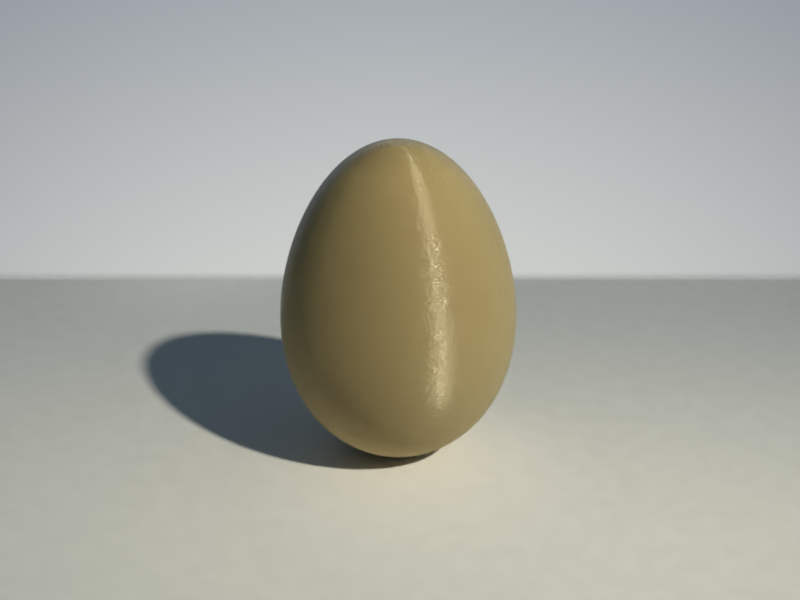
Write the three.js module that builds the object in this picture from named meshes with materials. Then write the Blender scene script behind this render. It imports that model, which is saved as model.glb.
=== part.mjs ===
// A plastic copy of a hen's egg at about life size, standing on its blunt end.
//
// It is one solid, turned about its upright axis. Lengths are in millimetres, +Z is
// up, and the origin is the middle of the small flat that the egg stands on.

import * as THREE from "three";

// Driving dimensions
const HEIGHT = 60; // from the flat it stands on to the flat on its tip
const WIDEST = 43.6; // diameter of its fullest ring
const BASE_CUT = 0.3; // length that the lower flat takes off the blunt end
const TIP_CUT = 0.12; // length that the upper flat takes off the narrow end

// Shape of the outline: with both at zero, the whole egg would be an ellipsoid.
const LOWER_BELLY = 0.123; // fills the lower half and slims the upper one
const SLIMMER_BASE = 0.03; // takes some of that back, close to the two ends

// Fineness
const SIDES = 80; // faces round each band
const BANDS = 48; // bands of faces between the two flats
const SEARCH_STEPS = 2000; // angles tried in the search for the fullest ring

// Finish
const TAN = 0xa8966a;
const ROUGHNESS = 0.4;

// The whole egg, before its ends are cut flat, is traced by an angle that runs from 0
// at its blunt end to a half turn at its narrow end.
const WHOLE_LENGTH = BASE_CUT + HEIGHT + TIP_CUT;

// Height above the lower flat at an angle of the outline.
function heightAt(angle) {
  return (WHOLE_LENGTH / 2) * (1 - Math.cos(angle)) - BASE_CUT;
}

// The angle of the outline at a height above the lower flat.
function angleAt(height) {
  return Math.acos(1 - (2 * (height + BASE_CUT)) / WHOLE_LENGTH);
}

// How far the outline stands from the axis, as a number near 1 at the belly.
function fullness(angle) {
  const lowness = Math.cos(angle); // 1 at the blunt end, -1 at the narrow end
  return Math.sin(angle) * (1 + LOWER_BELLY * lowness - SLIMMER_BASE * lowness ** 3);
}

// The largest fullness, which the egg's widest diameter stands for.
function fullestRing() {
  let fullest = 0;
  for (let step = 0; step <= SEARCH_STEPS; step += 1) {
    fullest = Math.max(fullest, fullness((Math.PI * step) / SEARCH_STEPS));
  }
  return fullest;
}

// The outline from the axis, over the lower flat's rim and up the side, to the upper
// flat and back to the axis. Each point is a radius and a height.
function outline() {
  const radiusPerFullness = WIDEST / 2 / fullestRing();
  const first = angleAt(0);
  const last = angleAt(HEIGHT);
  const points = [new THREE.Vector2(0, 0)];
  for (let ring = 0; ring <= BANDS; ring += 1) {
    const angle = first + ((last - first) * ring) / BANDS;
    points.push(new THREE.Vector2(radiusPerFullness * fullness(angle), heightAt(angle)));
  }
  points.push(new THREE.Vector2(0, HEIGHT));
  return points;
}

// The outline turned once round. A lathe turns its outline about Y, so the shape is
// then tipped up until its axis lies along Z.
function turnedEgg() {
  const geometry = new THREE.LatheGeometry(outline(), SIDES);
  geometry.rotateX(Math.PI / 2);
  return geometry;
}

const plastic = new THREE.MeshStandardMaterial({
  color: TAN,
  roughness: ROUGHNESS,
  metalness: 0,
});

const egg = new THREE.Mesh(turnedEgg(), plastic);
egg.name = "egg";

const part = new THREE.Group();
part.name = "plastic_egg";
part.add(egg);

export default part;
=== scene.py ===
# %% [markdown]
# # A 3D-printed plastic egg
# The object is a life-size copy of a hen's egg that a home printer has laid down in level
# layers of tan plastic. Each layer is one round bead, a fifth of a millimetre high, and
# there are three hundred of them. From a step away they are too fine to see one by one, but
# they decide how the egg shines, so this lesson models every one of them.
#
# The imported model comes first. It is the frame that everything else is built round: it
# says how big the egg is and where it stands, and it is never moved or changed.

# %% Load the frame
import math

import bpy
import numpy as np
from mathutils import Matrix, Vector, noise


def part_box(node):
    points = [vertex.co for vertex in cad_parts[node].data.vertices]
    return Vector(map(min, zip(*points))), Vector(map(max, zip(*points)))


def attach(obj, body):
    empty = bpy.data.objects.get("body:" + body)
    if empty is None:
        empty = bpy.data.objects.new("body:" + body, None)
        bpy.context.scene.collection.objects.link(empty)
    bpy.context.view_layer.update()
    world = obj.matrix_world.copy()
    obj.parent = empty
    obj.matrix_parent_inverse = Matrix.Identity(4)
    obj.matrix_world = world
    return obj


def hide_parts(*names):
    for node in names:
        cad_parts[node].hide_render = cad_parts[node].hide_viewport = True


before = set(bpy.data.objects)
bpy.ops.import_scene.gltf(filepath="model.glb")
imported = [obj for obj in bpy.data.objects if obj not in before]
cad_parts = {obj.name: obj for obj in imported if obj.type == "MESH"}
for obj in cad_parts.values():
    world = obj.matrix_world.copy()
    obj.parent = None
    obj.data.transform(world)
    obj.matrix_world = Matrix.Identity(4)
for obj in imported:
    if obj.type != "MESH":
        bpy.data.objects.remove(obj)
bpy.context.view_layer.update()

# %% [markdown]
# ## Sizes
# A printed thing is drawn by a few numbers: the outline of the model, the height of a
# layer, and the shape of one bead. The outline's size is read from the frame. The layer
# height is the printer's setting. All lengths below are in metres, as in the frame, so a
# millimetre gets a name of its own.

# %% Name the sizes
MM = 0.001
low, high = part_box("egg")
HEIGHT = high.z - low.z
WIDEST = high.x - low.x
LAYER = 0.2 * MM
LAYERS = round(HEIGHT / LAYER)
print(f"the egg is {HEIGHT / MM:.1f} mm high and {WIDEST / MM:.1f} mm wide: {LAYERS} layers")

# %% [markdown]
# ## The outline of the egg
# An egg is an ellipse whose lower half is a little fuller than its upper one. The frame's
# solid was drawn by such a formula, so the same formula is written here again, and then
# tested against the solid itself. That is safer than measuring the solid's corners,
# because a formula gives the exact radius of every one of the layers.
#
# The whole egg runs from angle 0 at its blunt end to a half turn at its narrow end. A
# thin cap is missing at both ends, where the first and the last layer are flat. The test
# leaves out the middles of those two flats, which lie on the axis.

# %% Write the outline as a formula
BASE_CUT = 0.3 * MM
TIP_CUT = 0.12 * MM
LOWER_BELLY = 0.123
SLIMMER_BASE = 0.03
ANGLES_TRIED = 2001
WHOLE_LENGTH = BASE_CUT + HEIGHT + TIP_CUT


def fullness(angle):
    """How far the outline stands out at an angle, with no unit yet."""
    lowness = np.cos(angle)
    return np.sin(angle) * (1 + LOWER_BELLY * lowness - SLIMMER_BASE * lowness**3)


FULLEST = fullness(np.linspace(0, math.pi, ANGLES_TRIED)).max()


def egg_radius(height):
    """The radius of the smooth egg at a height above the surface it stands on."""
    angle = np.arccos(1 - 2 * (height + BASE_CUT) / WHOLE_LENGTH)
    return WIDEST / 2 * fullness(angle) / FULLEST


NEAR_AXIS = 1 * MM

solid = np.array([v.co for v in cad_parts["egg"].data.vertices])
side_points = solid[np.hypot(solid[:, 0], solid[:, 1]) > NEAR_AXIS]
gap = np.hypot(side_points[:, 0], side_points[:, 1]) - egg_radius(side_points[:, 2])
print(f"the formula is within {abs(gap).max() / MM:.3f} mm of the solid")

# %% [markdown]
# ## One bead
# A nozzle squeezes soft plastic on to the layer below. The bead's free side bulges like
# half a pipe, and a sharp groove is left where it meets the next bead. This is why a
# layered print shines as it does: the light of one lamp finds the same slope again on
# every bead, so a highlight that would be a small spot on a smooth egg is drawn out into
# a long upright streak. A bump texture could fake the grooves, but only real beads stand
# in one another's light on the overhanging lower half, where the streak has to stop.
#
# Three points draw a bead: the bottom of the groove below it, and the two edges of its
# belly. Smooth shading will round those edges off, so no more points are needed. No two
# layers come out quite alike, because the flow of plastic breathes a little, so each
# layer's radius is a few thousandths of a millimetre off. These numbers are random but
# start from a fixed seed, so the egg is the same every time.
#
# The groove is deep where one bead stands straight on the other. Where a layer stands in
# from the one below, as it does towards the tip, it lies on flat plastic instead, and the
# groove closes, down to a shallowest share of its depth.

# %% Draw one bead
GROOVE_DEPTH = 0.066 * MM
CLOSING_STEP = 0.35 * MM
SHALLOWEST = 0.2
BELLY = 0.115 * MM
RADIUS_SPREAD = 0.004 * MM
SEED = 41
BEAD_SHOWN = 100

dice = np.random.default_rng(SEED)
layer_radius = egg_radius((np.arange(LAYERS) + 0.5) * LAYER)
layer_radius = layer_radius + dice.normal(0, RADIUS_SPREAD, LAYERS)


def groove_below(layer):
    """The bottom of the groove between a layer and the one that it lies on."""
    below = layer_radius[max(layer - 1, 0)]
    step_in = below - layer_radius[layer]
    depth = GROOVE_DEPTH * min(max(1 - step_in / CLOSING_STEP, SHALLOWEST), 1)
    return (min(layer_radius[layer], below) - depth, layer * LAYER)


def belly_edges(layer):
    """The lower and the upper edge of a layer's belly."""
    middle = (layer + 0.5) * LAYER
    return [(layer_radius[layer], middle - BELLY / 2), (layer_radius[layer], middle + BELLY / 2)]


for point in [groove_below(BEAD_SHOWN)] + belly_edges(BEAD_SHOWN):
    print(f"a point of bead {BEAD_SHOWN}, in mm:", [round(length / MM, 3) for length in point])

# %% [markdown]
# ## Steps that are wider than a bead
# Near both ends the egg narrows so fast that each layer stands in from its neighbour by
# more than the width of a bead. There the neighbour's inner beads lie bare, as rings with
# shallow grooves between them. The same is true of the last layer, whose whole top shows.

# %% Draw the bare rings on a wide step
BEAD_WIDTH = 0.45 * MM
RING_DEPTH = 0.02 * MM
RING_HALF_WIDTH = 0.06 * MM


def bare_rings(start, end, inwards):
    """Shallow grooves along the straight way from one point of the profile to another."""
    width = abs(end[0] - start[0])
    points = []
    for number in range(1, int(width / BEAD_WIDTH) + 1):
        for offset, depth in ((-RING_HALF_WIDTH, 0), (0, RING_DEPTH), (RING_HALF_WIDTH, 0)):
            share = (number * BEAD_WIDTH + offset) / width
            if share < 1 - RING_HALF_WIDTH / width:
                radius = start[0] + share * (end[0] - start[0])
                height = start[1] + share * (end[1] - start[1])
                points.append((radius, height + inwards * depth))
    return points


# %% [markdown]
# ## The profile of the whole egg
# The beads are stacked into one line that runs up the side of the egg, from the middle of
# its base to the middle of its tip. A step can face up, as on the upper half, or down, as
# on the lower one, and its rings are cut into the plastic from that side.

# %% Stack the beads into one profile
DOWN = -1
UP = 1

profile = [(0.0, 0.0)]
for layer in range(LAYERS):
    groove = groove_below(layer)
    edges = belly_edges(layer)
    if layer:
        profile += bare_rings(profile[-1], groove, DOWN)
    profile.append(groove)
    profile += bare_rings(groove, edges[0], UP)
    profile += edges
tip = (0.0, HEIGHT)
profile += bare_rings(profile[-1], tip, DOWN)
profile.append(tip)
print(f"the profile has {len(profile)} points")

# %% [markdown]
# ## Draw the profile as a line
# By hand this is a single vertex, extruded point by point up the profile. A plane merged
# to its middle is the usual way to get that first vertex. Everything is deselected first,
# because the frame arrives selected, and an operator works on all that is selected.

# %% Extrude the profile point by point
bpy.ops.object.select_all(action="DESELECT")
bpy.ops.mesh.primitive_plane_add(size=MM, location=(0, 0, 0))
egg = bpy.context.object
egg.name = egg.data.name = "printed_egg"
bpy.ops.object.mode_set(mode="EDIT")
bpy.ops.mesh.merge(type="CENTER")
here = profile[0]
for there in profile[1:]:
    step = (there[0] - here[0], 0, there[1] - here[1])
    bpy.ops.mesh.extrude_vertices_move(TRANSFORM_OT_translate={"value": step})
    here = there
bpy.ops.object.mode_set(mode="OBJECT")
print(f"the line has {len(egg.data.vertices)} vertices")

# %% [markdown]
# ## Turn the line into a solid
# Spin sweeps the line once round the upright axis, as a turner's lathe would. It leaves two
# things to mend. At both ends of the axis many points lie in the same place, so doubles are
# merged, which closes the poles. And the new faces may point inwards, so the normals are
# made to point out, after the merge and not before.

# %% Spin it round the axis
SIDES = 100
SAME_PLACE = 0.0005 * MM

bpy.ops.object.mode_set(mode="EDIT")
bpy.ops.mesh.select_all(action="SELECT")
bpy.ops.mesh.spin(
    steps=SIDES, angle=2 * math.pi, use_auto_merge=True, center=(0, 0, 0), axis=(0, 0, 1)
)
bpy.ops.mesh.select_all(action="SELECT")
bpy.ops.mesh.remove_doubles(threshold=SAME_PLACE)
bpy.ops.mesh.normals_make_consistent(inside=False)
bpy.ops.mesh.select_all(action="DESELECT")
bpy.ops.object.mode_set(mode="OBJECT")
print(f"{len(egg.data.vertices)} vertices, {len(egg.data.polygons)} faces")

# %% [markdown]
# ## Let the beads wander
# A real bead is not a perfect circle. The whole head sways slowly, which bends many
# layers alike, and every layer has small waves of its own. The first is smooth noise,
# several millimetres wide. The second is a sum of a few waves round the ring, each with
# its own start on every layer. Both only push a point away from the axis or towards it,
# and near the axis the push fades out, so that the two poles stay where they are.

# %% Move every point a little
SWAY = 0.03 * MM
SWAY_SIZE = 6 * MM
RIPPLE = 0.004 * MM
RIPPLES_ROUND = (5, 9, 14, 22)
FADE_RADIUS = 4 * MM

points = np.empty(len(egg.data.vertices) * 3)
egg.data.vertices.foreach_get("co", points)
points = points.reshape(-1, 3)
radius = np.hypot(points[:, 0], points[:, 1])
turn = np.arctan2(points[:, 1], points[:, 0])
layer_of = np.clip((points[:, 2] / LAYER).astype(int), 0, LAYERS - 1)
starts = dice.uniform(0, 2 * math.pi, (LAYERS, len(RIPPLES_ROUND)))
push = np.array([SWAY * noise.noise(Vector(p) / SWAY_SIZE) for p in points])
for number, waves in enumerate(RIPPLES_ROUND):
    push += RIPPLE * np.sin(waves * turn + starts[layer_of, number])
push *= np.clip(radius / FADE_RADIUS, 0, 1)
points[:, :2] *= (1 + push / np.maximum(radius, NEAR_AXIS))[:, None]
egg.data.vertices.foreach_set("co", points.ravel())
egg.data.update()
print(f"points moved by up to {abs(push).max() / MM:.3f} mm")

# %% [markdown]
# ## Round bellies, sharp grooves
# Smooth shading blends the slope from face to face, which is right across a bead's belly
# and wrong across a groove. So the ring edges that lie in the grooves are marked sharp.
# They are picked by their height: they are level, and lie just where two layers meet.

# %% Shade smooth and mark the grooves sharp
NEARLY_LEVEL = 0.001 * MM

ends = np.empty(len(egg.data.edges) * 2, int)
egg.data.edges.foreach_get("vertices", ends)
heights = points[ends.reshape(-1, 2), 2]
level = abs(heights[:, 0] - heights[:, 1]) < NEARLY_LEVEL
from_joint = abs(heights[:, 0] / LAYER - np.round(heights[:, 0] / LAYER)) * LAYER
in_groove = level & (from_joint < NEARLY_LEVEL)
egg.data.edges.foreach_set("select", in_groove)
bpy.ops.object.mode_set(mode="EDIT")
bpy.ops.mesh.select_mode(type="EDGE")
bpy.ops.mesh.mark_sharp()
bpy.ops.mesh.select_all(action="DESELECT")
bpy.ops.object.mode_set(mode="OBJECT")
bpy.ops.object.shade_smooth(keep_sharp_edges=True)
print(f"{in_groove.sum()} groove edges are sharp")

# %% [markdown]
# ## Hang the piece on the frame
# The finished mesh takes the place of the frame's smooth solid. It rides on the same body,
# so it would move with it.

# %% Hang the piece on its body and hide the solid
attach(egg, "root")
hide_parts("egg")
print(f"{egg.name} in mm:", [round(side / MM, 2) for side in egg.dimensions])

# %% [markdown]
# ## Unevenness, as a node group
# Nothing here is quite even: the plastic's colour drifts, its skin is finely rough, and the
# table's card is mottled. All of that is one effect at different sizes, so it is one group,
# built once. It takes a place and the size of a patch, and gives an amount from 0 to 1.
# Plain noise hardly ever comes near 0 or 1, so its middle half is spread over that range.

# %% Make the group
NOISE_LOW = 0.25
NOISE_HIGH = 0.75


def make_uneven():
    """Noise in patches of a given size, spread over the whole range from 0 to 1."""
    group = bpy.data.node_groups.new("uneven", "ShaderNodeTree")
    group.interface.new_socket("Position", in_out="INPUT", socket_type="NodeSocketVector")
    group.interface.new_socket("Patch", in_out="INPUT", socket_type="NodeSocketVector")
    group.interface.new_socket("Detail", in_out="INPUT", socket_type="NodeSocketFloat")
    group.interface.new_socket("Amount", in_out="OUTPUT", socket_type="NodeSocketFloat")
    nodes, links = group.nodes, group.links
    entry = nodes.new("NodeGroupInput")
    leave = nodes.new("NodeGroupOutput")
    in_patches = nodes.new("ShaderNodeVectorMath")
    in_patches.operation = "DIVIDE"
    cloud = nodes.new("ShaderNodeTexNoise")
    cloud.inputs["Scale"].default_value = 1
    spread = nodes.new("ShaderNodeMapRange")
    spread.inputs["From Min"].default_value = NOISE_LOW
    spread.inputs["From Max"].default_value = NOISE_HIGH
    links.new(entry.outputs["Position"], in_patches.inputs[0])
    links.new(entry.outputs["Patch"], in_patches.inputs[1])
    links.new(in_patches.outputs[0], cloud.inputs["Vector"])
    links.new(entry.outputs["Detail"], cloud.inputs["Detail"])
    links.new(cloud.outputs["Fac"], spread.inputs["Value"])
    links.new(spread.outputs["Result"], leave.inputs["Amount"])
    return group


uneven = make_uneven()


def add_uneven(tree, position, patch, detail):
    """Places the group in a material and returns its amount."""
    node = tree.nodes.new("ShaderNodeGroup")
    node.node_tree = uneven
    tree.links.new(position, node.inputs["Position"])
    node.inputs["Patch"].default_value = (patch, patch, patch)
    node.inputs["Detail"].default_value = detail
    return node.outputs["Amount"]


print("the group's sockets:", [socket.name for socket in uneven.interface.items_tree])

# %% [markdown]
# ## The plastic
# The filament is an opaque tan. Light still travels a millimetre or two through it before
# it comes out again, which is many times a bead's height. So the grooves hardly darken, and
# the egg looks as smooth as wax away from its highlight. The shader's subsurface setting
# does just that. All three colours travel equally far, and the egg is far too thick for
# light to come through from behind. The shine itself leans a little to yellow, as the
# pigment lies right under the surface.

# %% Start the plastic
PLASTIC_IOR = 1.53
SHINE_TINT = (1, 0.894, 0.70, 1)
LIGHT_TRAVEL = 1.5 * MM
ALL_COLOURS_ALIKE = (1, 1, 1)

plastic = bpy.data.materials.new("tan_plastic")
plastic.use_nodes = True
tree = plastic.node_tree
shader = tree.nodes["Principled BSDF"]
shader.inputs["IOR"].default_value = PLASTIC_IOR
shader.inputs["Specular Tint"].default_value = SHINE_TINT
shader.inputs["Subsurface Weight"].default_value = 1
shader.inputs["Subsurface Radius"].default_value = ALL_COLOURS_ALIKE
shader.inputs["Subsurface Scale"].default_value = LIGHT_TRAVEL
position = tree.nodes.new("ShaderNodeTexCoord").outputs["Object"]
print(f"light travels about {LIGHT_TRAVEL / MM:.1f} mm inside the {plastic.name}")

# %% [markdown]
# ## A pattern for every layer of its own
# A bead is laid in one go, so what is uneven about it runs along it and stops at the next
# bead. Plain noise would run on from one layer to the next. So each layer's place in the
# noise is moved a long way up from the last one's, by its number, and within a layer the
# height plays no part.
#
# By hand, nodes are added, set and linked one by one. A small helper does these three for
# a step of arithmetic, and more helpers like it follow where they are needed.

# %% Give every layer its own place in the noise
LAYER_SHIFT = 7 * MM


def add_math(tree, operation, first, second):
    """One step of arithmetic on sockets or numbers."""
    node = tree.nodes.new("ShaderNodeMath")
    node.operation = operation
    for socket, value in zip(node.inputs, (first, second)):
        if isinstance(value, (int, float)):
            socket.default_value = value
        else:
            tree.links.new(value, socket)
    return node.outputs[0]


split = tree.nodes.new("ShaderNodeSeparateXYZ")
tree.links.new(position, split.inputs[0])
above_table = split.outputs["Z"]
layer_number = add_math(tree, "FLOOR", add_math(tree, "DIVIDE", above_table, LAYER), 0)
join = tree.nodes.new("ShaderNodeCombineXYZ")
tree.links.new(split.outputs["X"], join.inputs["X"])
tree.links.new(split.outputs["Y"], join.inputs["Y"])
tree.links.new(add_math(tree, "MULTIPLY", layer_number, LAYER_SHIFT), join.inputs["Z"])
on_layer = join.outputs[0]
print(f"the noise moves on by {LAYER_SHIFT / MM:.0f} mm from layer to layer")

# %% [markdown]
# ## Its colour
# The tan drifts a little over some millimetres, as pigment does that isn't quite evenly
# stirred, and every bead has a tone of its own. Towards the tip the colour is darkened as
# painted shade, for a top that gets less light.
#
# Three more helpers do this. One mixes two colours by an amount. The node keeps sockets for
# numbers, vectors and colours side by side under the same names, so those for colours are
# picked by their number. One carries a value from one range into another, with soft ends.
# One does arithmetic on vectors, and a colour is a vector to it.

# %% Helpers for colours
FIRST_COLOUR = 6
SECOND_COLOUR = 7
MIXED_COLOUR = 2


def add_mix(tree, amount, first, second):
    """Mixes two colours, each a colour or a socket, by an amount."""
    mix = tree.nodes.new("ShaderNodeMix")
    mix.data_type = "RGBA"
    tree.links.new(amount, mix.inputs["Factor"])
    for number, colour in ((FIRST_COLOUR, first), (SECOND_COLOUR, second)):
        if isinstance(colour, tuple):
            mix.inputs[number].default_value = (*colour, 1)
        else:
            tree.links.new(colour, mix.inputs[number])
    return mix.outputs[MIXED_COLOUR]


def add_range(tree, value, from_low, from_high, to_low, to_high):
    """Carries a value from one range into another, and stops at its ends."""
    node = tree.nodes.new("ShaderNodeMapRange")
    node.interpolation_type = "SMOOTHSTEP"
    tree.links.new(value, node.inputs["Value"])
    node.inputs["From Min"].default_value = from_low
    node.inputs["From Max"].default_value = from_high
    node.inputs["To Min"].default_value = to_low
    node.inputs["To Max"].default_value = to_high
    return node.outputs["Result"]


def add_vector(tree, operation, first, second):
    """One step of arithmetic on vectors or colours, by a socket or a fixed vector."""
    node = tree.nodes.new("ShaderNodeVectorMath")
    node.operation = operation
    tree.links.new(first, node.inputs[0])
    socket = node.inputs["Scale"] if operation == "SCALE" else node.inputs[1]
    if isinstance(second, tuple):
        socket.default_value = second
    else:
        tree.links.new(second, socket)
    return node.outputs[0]


# %% Colour the plastic
TAN = (0.326, 0.247, 0.109)
PALE_TAN = (0.343, 0.262, 0.118)
DEEP_TAN = (0.308, 0.232, 0.099)
DRIFT_SIZE = 9 * MM
BEAD_TONE_SIZE = 5 * MM
TIP_SHADE_START = 55 * MM
TIP_SHADE_TONE = 0.84

drift = add_uneven(tree, position, DRIFT_SIZE, detail=2)
bead_tone = add_uneven(tree, on_layer, BEAD_TONE_SIZE, detail=1)
colour = add_mix(tree, drift, DEEP_TAN, TAN)
colour = add_mix(tree, bead_tone, colour, PALE_TAN)
# Painted shade: the colour grows darker over the last millimetres towards the tip.
tip_shade = add_range(tree, above_table, TIP_SHADE_START, HEIGHT, 1, TIP_SHADE_TONE)
colour = add_vector(tree, "SCALE", colour, tip_shade)
tree.links.new(colour, shader.inputs["Base Color"])
print(f"the colour deepens over the last {(HEIGHT - TIP_SHADE_START) / MM:.0f} mm")

# %% [markdown]
# ## Its skin
# The plastic cools to a satin skin. It shines more where the bead flowed fast and less
# where it dragged, and it has fine lumps. Both break the highlight up into short dashes, a
# bead high and a few beads long, which is what makes the streak glitter. Under them lies
# a second, wider unevenness that several layers share, because a bead copies the bumps of
# the one below. It makes the streak's two edges ragged. Towards the tip the rounds get
# short and the plastic has less time to cool, so that this wider unevenness grows.
#
# The beads are real, because they decide where the streak lies. These lumps only break it
# up, and are far finer than a face of the mesh, so they are a bump.

# %% Make its skin satin, and finely uneven along each bead
SMOOTHEST = 0.15
ROUGHEST = 0.32
SKIN_SIZE = 1.2 * MM
LUMP_SIZE = 0.6 * MM
LUMP_HEIGHT = 0.025 * MM
SHARED_SIZE = 1.6 * MM
SHARED_HEIGHT = 0.02 * MM
GROWTH_START = 0.6 * HEIGHT
GROWTH_END = 0.97 * HEIGHT
GROWTH_AT_TIP = 3


def add_bump(tree, height, distance, normal=None):
    """Tilts a material's normal by a height field, on top of another tilt if one is given."""
    bump = tree.nodes.new("ShaderNodeBump")
    bump.inputs["Distance"].default_value = distance
    tree.links.new(height, bump.inputs["Height"])
    if normal:
        tree.links.new(normal, bump.inputs["Normal"])
    return bump.outputs["Normal"]


skin = add_uneven(tree, on_layer, SKIN_SIZE, detail=2)
tree.links.new(add_range(tree, skin, 0, 1, SMOOTHEST, ROUGHEST), shader.inputs["Roughness"])
growth = add_range(tree, above_table, GROWTH_START, GROWTH_END, 1, GROWTH_AT_TIP)
shared = add_math(tree, "MULTIPLY", add_uneven(tree, position, SHARED_SIZE, detail=1), growth)
lumps = add_uneven(tree, on_layer, LUMP_SIZE, detail=2)
tilt = add_bump(tree, lumps, LUMP_HEIGHT, add_bump(tree, shared, SHARED_HEIGHT))
tree.links.new(tilt, shader.inputs["Normal"])
egg.data.materials.append(plastic)
print(f"the {plastic.name} is wired from {len(tree.nodes)} nodes")

# %% [markdown]
# ## The table
# The egg stands on a wide sheet of pale card, which ends a little way behind it. A plane is
# all it needs. Its size goes into its mesh, so that patterns on it keep their true size.
# The table is there for the picture only, and is no part of the object.

# %% Lay the table
TABLE_BACK = 85 * MM
TABLE_FRONT = -2.5
TABLE_HALF_WIDTH = 2.0

bpy.ops.object.select_all(action="DESELECT")
bpy.ops.mesh.primitive_plane_add(size=1, location=(0, (TABLE_BACK + TABLE_FRONT) / 2, 0))
table = bpy.context.object
table.name = table.data.name = "table"
table.scale = (2 * TABLE_HALF_WIDTH, TABLE_BACK - TABLE_FRONT, 1)
bpy.ops.object.transform_apply(location=True, rotation=False, scale=True)
print("the table in mm:", [round(side / MM) for side in table.dimensions])

# %% [markdown]
# ## Light that lies on the card
# No lamp lights a table evenly: there is a pool of light before the egg, which fades to the
# back and to both sides. The lamp of this scene is a sun, whose light has no fade, so that
# the egg's own shading stays easy to follow. The card carries the fade instead, as soft
# changes of its grey: a wide oval pool, a small brighter patch at the egg's foot, where the
# egg throws its own shine down, and a slightly paler patch at the back on the left. Each
# is a mix by the distance from its centre. For the oval one, that distance is counted less
# along one direction.

# %% Paint the pool and the two patches
NO_STRETCH = (1, 1, 1)
POOL_CENTRE = (33 * MM, -43 * MM, 0)
POOL_STRETCH = (1.62, 1, 1)
POOL_TURN = math.radians(-8.5)
POOL_EDGE = 123 * MM
BACK_CENTRE = (-45 * MM, 90 * MM, 0)
BACK_EDGE = 50 * MM
FOOT_CENTRE = (5 * MM, -11.6 * MM, 0)
FOOT_EDGE = 38 * MM
NEAR_CARD = (0.611, 0.584, 0.53)
FAR_CARD = (0.323, 0.33, 0.327)
BACK_CARD = (0.39, 0.397, 0.394)
FOOT_CARD = (0.685, 0.645, 0.583)


def add_distance(tree, position, centre, stretch=NO_STRETCH, turn=0):
    """How far a place is from a centre, counted less along a stretched direction."""
    mapping = tree.nodes.new("ShaderNodeMapping")
    mapping.vector_type = "TEXTURE"
    mapping.inputs["Location"].default_value = centre
    mapping.inputs["Rotation"].default_value = (0, 0, turn)
    mapping.inputs["Scale"].default_value = stretch
    tree.links.new(position, mapping.inputs["Vector"])
    node = tree.nodes.new("ShaderNodeVectorMath")
    node.operation = "LENGTH"
    tree.links.new(mapping.outputs[0], node.inputs[0])
    return node.outputs["Value"]


card = bpy.data.materials.new("pale_card")
card.use_nodes = True
tree = card.node_tree
shader = tree.nodes["Principled BSDF"]
position = tree.nodes.new("ShaderNodeTexCoord").outputs["Object"]
from_pool = add_distance(tree, position, POOL_CENTRE, POOL_STRETCH, POOL_TURN)
fade = add_range(tree, from_pool, 0, POOL_EDGE, 0, 1)
colour = add_mix(tree, fade, NEAR_CARD, FAR_CARD)
back = add_range(tree, add_distance(tree, position, BACK_CENTRE), 0, BACK_EDGE, 1, 0)
colour = add_mix(tree, back, colour, BACK_CARD)
foot = add_range(tree, add_distance(tree, position, FOOT_CENTRE), 0, FOOT_EDGE, 1, 0)
colour = add_mix(tree, foot, colour, FOOT_CARD)
print(f"the pool reaches {POOL_EDGE / MM:.0f} mm from its centre")

# %% [markdown]
# ## The card itself
# A painted highlight runs along its back edge and makes it paler. Far away the card grows
# dark, where no lamp reaches, so that the egg isn't lit from below by a table without an
# end. Fine fibres mottle all of it, by a few hundredths. Card is matt, and a high roughness
# spreads its shine until hardly any is seen.

# %% Finish the card
EDGE_HIGHLIGHT_WIDTH = 3 * MM
EDGE_HIGHLIGHT_CARD = (0.49, 0.49, 0.49)
MIDDLE = (0, 0, 0)
DARK_START = 80 * MM
DARK_END = 260 * MM
DARK_TONE = 0.35
FIBRE_SIZE = 4 * MM
MOTTLE = 0.03
CARD_ROUGHNESS = 0.7

split = tree.nodes.new("ShaderNodeSeparateXYZ")
tree.links.new(position, split.inputs[0])
# Painted highlight: the card turns paler over the last few millimetres of its back edge.
edge_highlight = add_range(tree, split.outputs["Y"], TABLE_BACK - EDGE_HIGHLIGHT_WIDTH, TABLE_BACK, 0, 1)
colour = add_mix(tree, edge_highlight, colour, EDGE_HIGHLIGHT_CARD)
from_middle = add_distance(tree, position, MIDDLE)
tone = add_range(tree, from_middle, DARK_START, DARK_END, 1, DARK_TONE)
colour = add_vector(tree, "SCALE", colour, tone)
fibres = add_uneven(tree, position, FIBRE_SIZE, detail=5)
tone = add_range(tree, fibres, 0, 1, 1 - MOTTLE, 1 + MOTTLE)
colour = add_vector(tree, "SCALE", colour, tone)
tree.links.new(colour, shader.inputs["Base Color"])
shader.inputs["Roughness"].default_value = CARD_ROUGHNESS
table.data.materials.append(card)
print(f"the {card.name} is wired from {len(tree.nodes)} nodes")

# %% [markdown]
# ## The wall
# Some way behind the table's edge hangs a pale wall. It matters more than it seems to: the
# egg's upper rim mirrors it, and it fills the side that the lamp leaves dark. It is a plane
# stood upright, there for the picture as well.

# %% Hang the wall
WALL_DISTANCE = 0.45
WALL_SIZE = 0.8

bpy.ops.object.select_all(action="DESELECT")
bpy.ops.mesh.primitive_plane_add(
    size=WALL_SIZE, location=(0, WALL_DISTANCE, 0), rotation=(math.pi / 2, 0, 0)
)
wall = bpy.context.object
wall.name = wall.data.name = "wall"
bpy.ops.object.transform_apply(location=True, rotation=True, scale=True)
print("the wall in mm:", [round(side / MM) for side in wall.dimensions])

# %% [markdown]
# ## The wall's glow
# A sun would light the wall evenly, and this wall isn't even. So its paint takes no light
# at all, with a black colour and no shine, and glows by itself instead, because a glow can
# be shaped. It is strongest low down and in the middle, weaker and bluer in the part above,
# and a little stronger again high up, where only the egg sees it. It also fades to both
# sides. The wall's foot is darker, and a thin hem of that shows above the table's edge.

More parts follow.
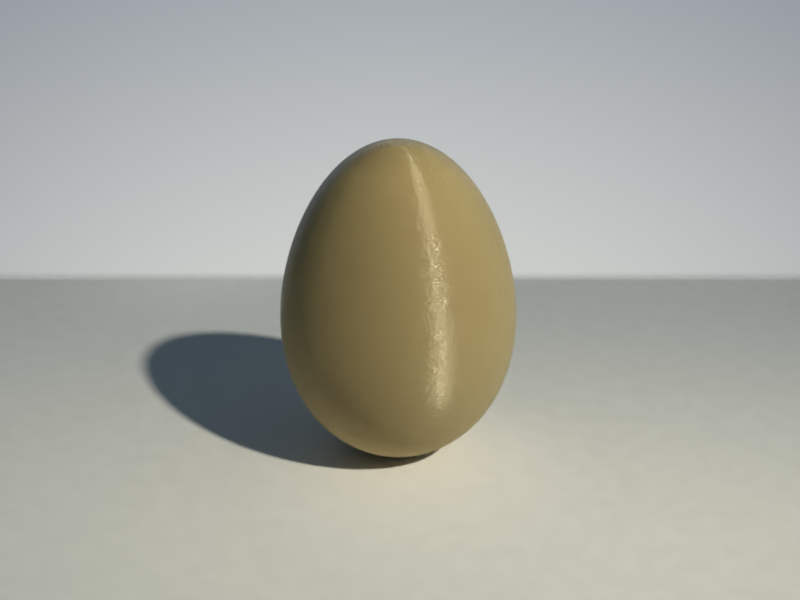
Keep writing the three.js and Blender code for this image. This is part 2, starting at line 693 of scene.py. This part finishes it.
# %% Paint the wall
WHITE = (1, 1, 1)
BLACK = (0, 0, 0, 1)
LOW_GLOW = (0.654, 0.666, 0.635)
MIDDLE_GLOW = (0.24, 0.278, 0.341)
HIGH_GLOW = (0.34, 0.42, 0.50)
SIDE_TINT = (0.2, 0.217, 0.321)
LOW_TO_MIDDLE = (-213 * MM, 142 * MM)
MIDDLE_TO_HIGH = (0, 300 * MM)
MIDDLE_TO_SIDE = (-10 * MM, 634 * MM)
FOOT_TO_LOW = (-149.5 * MM, -145 * MM)
FOOT_TONE = 0.72

paint = bpy.data.materials.new("wall_paint")
paint.use_nodes = True
tree = paint.node_tree
shader = tree.nodes["Principled BSDF"]
position = tree.nodes.new("ShaderNodeTexCoord").outputs["Object"]
split = tree.nodes.new("ShaderNodeSeparateXYZ")
tree.links.new(position, split.inputs[0])
above_table = split.outputs["Z"]
rise = add_range(tree, above_table, *LOW_TO_MIDDLE, 0, 1)
colour = add_mix(tree, rise, LOW_GLOW, MIDDLE_GLOW)
rise = add_range(tree, above_table, *MIDDLE_TO_HIGH, 0, 1)
colour = add_mix(tree, rise, colour, HIGH_GLOW)
from_middle = add_math(tree, "ABSOLUTE", split.outputs["X"], 0)
aside = add_range(tree, from_middle, *MIDDLE_TO_SIDE, 0, 1)
colour = add_vector(tree, "MULTIPLY", colour, add_mix(tree, aside, WHITE, SIDE_TINT))
tone = add_range(tree, above_table, *FOOT_TO_LOW, FOOT_TONE, 1)
colour = add_vector(tree, "SCALE", colour, tone)
tree.links.new(colour, shader.inputs["Emission Color"])
shader.inputs["Emission Strength"].default_value = 1
shader.inputs["Base Color"].default_value = BLACK
shader.inputs["Specular IOR Level"].default_value = 0
wall.data.materials.append(paint)
print(f"the {paint.name} is wired from {len(tree.nodes)} nodes")

# %% [markdown]
# ## The lamp
# One warm lamp stands to the right of the viewer, about 43 degrees up. It is a sun with a
# small disc, because the shadow's edge is nearly crisp.

# %% Set the lamp
SUN_AZIMUTH = math.radians(47.6)
SUN_ELEVATION = math.radians(42.7)
SUN_DISC = math.radians(2.4)
SUN_STRENGTH = 3.75
SUN_COLOUR = (1, 0.978, 0.848)

to_sun = Vector((
    math.sin(SUN_AZIMUTH) * math.cos(SUN_ELEVATION),
    -math.cos(SUN_AZIMUTH) * math.cos(SUN_ELEVATION),
    math.sin(SUN_ELEVATION),
))
facing = to_sun.to_track_quat("Z", "Y").to_euler()
bpy.ops.object.light_add(type="SUN", location=to_sun, rotation=facing)
lamp = bpy.context.object
lamp.name = lamp.data.name = "key_light"
lamp.data.energy = SUN_STRENGTH
lamp.data.color = SUN_COLOUR
lamp.data.angle = SUN_DISC
print("the sun stands towards", [round(part, 2) for part in to_sun])

# %% [markdown]
# ## The glow of the room
# All other light is weak: a cool glow from the right, a fainter one from high up behind the
# egg on the left, and a trace of blue from above. They come from the world, by direction,
# and where two overlap they add up, as light does. The camera sees a plain pale world
# instead, so that the background stays calm from every side.

# %% Set the glow of the room
FROM_RIGHT = (1, 0, 0)
FROM_BEHIND_LEFT = (-0.64, 0.3, 0.707)
FROM_TOP = (0, 0, 1)
RIGHT_GLOW = (0.24, 0.355, 0.35)
LEFT_GLOW = (0.112, 0.155, 0.115)
TOP_GLOW = (0.005, 0.015, 0.11)
PALE_ROOM = (0.5, 0.53, 0.54)
DARK = (0, 0, 0)
WIDE = 0
NARROW = 0.3


def add_glow(tree, direction, start, colour):
    """A glow that is full in one direction, and has faded out at a cosine of `start`."""
    dot = tree.nodes.new("ShaderNodeVectorMath")
    dot.operation = "DOT_PRODUCT"
    dot.inputs[1].default_value = direction
    ray = tree.nodes.new("ShaderNodeTexCoord").outputs["Generated"]
    tree.links.new(ray, dot.inputs[0])
    return add_mix(tree, add_range(tree, dot.outputs["Value"], start, 1, 0, 1), DARK, colour)


world = bpy.data.worlds.new("studio")
world.use_nodes = True
tree = world.node_tree
glow = add_glow(tree, FROM_RIGHT, WIDE, RIGHT_GLOW)
glow = add_vector(tree, "ADD", glow, add_glow(tree, FROM_TOP, NARROW, TOP_GLOW))
glow = add_vector(tree, "ADD", glow, add_glow(tree, FROM_BEHIND_LEFT, NARROW, LEFT_GLOW))
from_camera = tree.nodes.new("ShaderNodeLightPath").outputs["Is Camera Ray"]
shown = add_mix(tree, from_camera, glow, PALE_ROOM)
tree.links.new(shown, tree.nodes["Background"].inputs["Color"])
bpy.context.scene.world = world
print(f"the {world.name} world is wired from {len(tree.nodes)} nodes")

# %% [markdown]
# ## Camera
# A long lens from close by, looking down at the egg at about 23 degrees. Its picture is a
# little soft, as a small camera's is. That softness is also what lets three hundred beads
# read as one fine texture: each is hardly higher than a pixel, and a crisp picture of them
# would show false stripes. The pixel filter's width sets it. A small camera also smooths
# away whatever it takes for noise. The denoiser does the same when it is given the colours
# alone, and not the normals, in which every bead shows.

# %% Set the camera
FOCAL_LENGTH = 63
CAMERA_DISTANCE = 257.9 * MM
CAMERA_PITCH = math.radians(23.05)
AIM = Vector((0.31 * MM, 0, 29.86 * MM))
NEAREST_SEEN = 10 * MM
SOFTNESS = 2.0

backwards = Vector((0, -math.cos(CAMERA_PITCH), math.sin(CAMERA_PITCH)))
bpy.ops.object.camera_add(
    location=AIM + backwards * CAMERA_DISTANCE,
    rotation=(math.pi / 2 - CAMERA_PITCH, 0, 0),
)
camera = bpy.context.object
camera.data.lens = FOCAL_LENGTH
camera.data.clip_start = NEAREST_SEEN
bpy.context.scene.camera = camera
bpy.context.scene.view_settings.view_transform = "Standard"
bpy.context.scene.cycles.filter_width = SOFTNESS
bpy.context.scene.cycles.denoising_input_passes = "RGB"
print("the camera stands at, in mm:", [round(part / MM) for part in camera.location])
